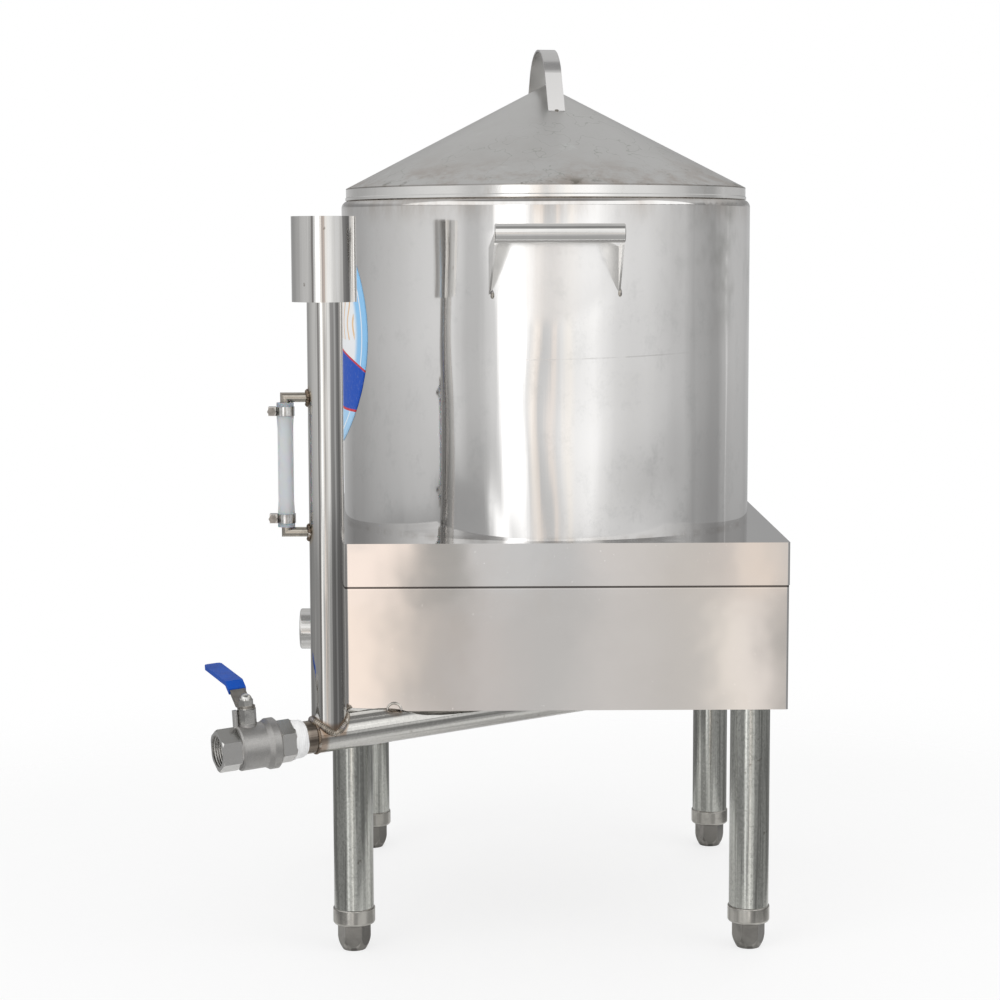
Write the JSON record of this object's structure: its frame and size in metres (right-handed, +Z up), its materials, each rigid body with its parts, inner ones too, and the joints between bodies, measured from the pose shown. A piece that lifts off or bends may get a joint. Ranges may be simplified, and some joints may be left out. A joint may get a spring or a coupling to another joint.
{
  "type": "rice noodle roll steamer",
  "caption": "Floor-standing electric steamer: round steaming pot with coned lid on a square boiler base, with fill pipe, level hose and drain valve.",
  "frame": {"origin": "on the floor, under the middle of the whole part with its pipes, valve and handles", "axes": "+Z up; -Y to the front, where a pot handle, the standpipe and its cup are; +X to the right seen from the front; the valve is at -X"},
  "size_m": [0.5946, 0.6048, 0.9369],
  "materials": {
    "sheet_steel": "satin",
    "polished_steel": "polished",
    "angle_steel": "matte",
    "turned_steel": "satin",
    "tinted_steel": "satin",
    "cast_steel": "matte",
    "bright_steel": "polished",
    "sleeve_vinyl": "gloss",
    "seal_white": "matte",
    "hose_silicone": "satin",
    "lagging": "matte"
  },
  "bodies": {
    "boiler": {"back_handle_grip": "polished_steel", "back_handle_gusset_left": "polished_steel", "back_handle_gusset_right": "polished_steel", "base_cap": "sheet_steel", "base_floor_plate": "sheet_steel", "base_frame": "angle_steel", "base_skirt": "sheet_steel", "clamp_bolt_lower": "bright_steel", "clamp_bolt_upper": "bright_steel", "drain_pipe": "polished_steel", "drain_riser": "polished_steel", "drain_tack": "tinted_steel", "fill_cup": "polished_steel", "front_handle_grip": "polished_steel", "front_handle_gusset_left": "polished_steel", "front_handle_gusset_right": "polished_steel", "gland_nut": "bright_steel", "heater_element": "polished_steel", "heater_head": "polished_steel", "heater_socket": "polished_steel", "hose_clamp_lower": "bright_steel", "hose_clamp_upper": "bright_steel", "inner_vessel": "polished_steel", "insulation": "lagging", "leg_back_left": "sheet_steel", "leg_back_right": "sheet_steel", "leg_collar_back_left": "turned_steel", "leg_collar_back_right": "turned_steel", "leg_collar_front_left": "turned_steel", "leg_collar_front_right": "turned_steel", "leg_front_left": "sheet_steel", "leg_front_right": "sheet_steel", "nipple_weld": "tinted_steel", "pipe_nipple": "tinted_steel", "pot_shell": "polished_steel", "sight_arm_lower": "polished_steel", "sight_arm_upper": "polished_steel", "sight_hose": "hose_silicone", "standpipe": "polished_steel", "standpipe_weld": "tinted_steel", "thread_tape": "seal_white", "valve_body": "cast_steel", "valve_end_piece": "cast_steel", "valve_seats": "seal_white", "vessel_rim": "polished_steel"},
    "lid": {"lid_cone": "sheet_steel", "lid_band": "sheet_steel", "lid_handle": "sheet_steel"},
    "lever": {"valve_ball": "bright_steel", "valve_stem": "bright_steel", "valve_lever": "bright_steel", "lever_sleeve": "sleeve_vinyl", "lever_washer": "bright_steel", "lever_nut": "bright_steel"},
    "foot_front_left": {"foot_front_left": "turned_steel"},
    "foot_front_right": {"foot_front_right": "turned_steel"},
    "foot_back_left": {"foot_back_left": "turned_steel"},
    "foot_back_right": {"foot_back_right": "turned_steel"}
  },
  "joints": [
    {"name": "lid_lift", "type": "slide", "parent": "boiler", "child": "lid", "axis": [0, 0, 1], "range_m": [0, 0.25]},
    {"name": "valve_turn", "type": "hinge", "parent": "boiler", "child": "lever", "pos_m": [-0.24477, -0.27123, 0.23405], "axis": [-0.0495, -0.0231, 0.9985], "range_deg": [0, 90]},
    {"name": "foot_front_left_screw", "type": "slide", "parent": "boiler", "child": "foot_front_left", "axis": [0, 0, -1], "range_m": [0, 0.025]},
    {"name": "foot_front_right_screw", "type": "slide", "parent": "boiler", "child": "foot_front_right", "axis": [0, 0, -1], "range_m": [0, 0.025]},
    {"name": "foot_back_left_screw", "type": "slide", "parent": "boiler", "child": "foot_back_left", "axis": [0, 0, -1], "range_m": [0, 0.025]},
    {"name": "foot_back_right_screw", "type": "slide", "parent": "boiler", "child": "foot_back_right", "axis": [0, 0, -1], "range_m": [0, 0.025]}
  ]
}
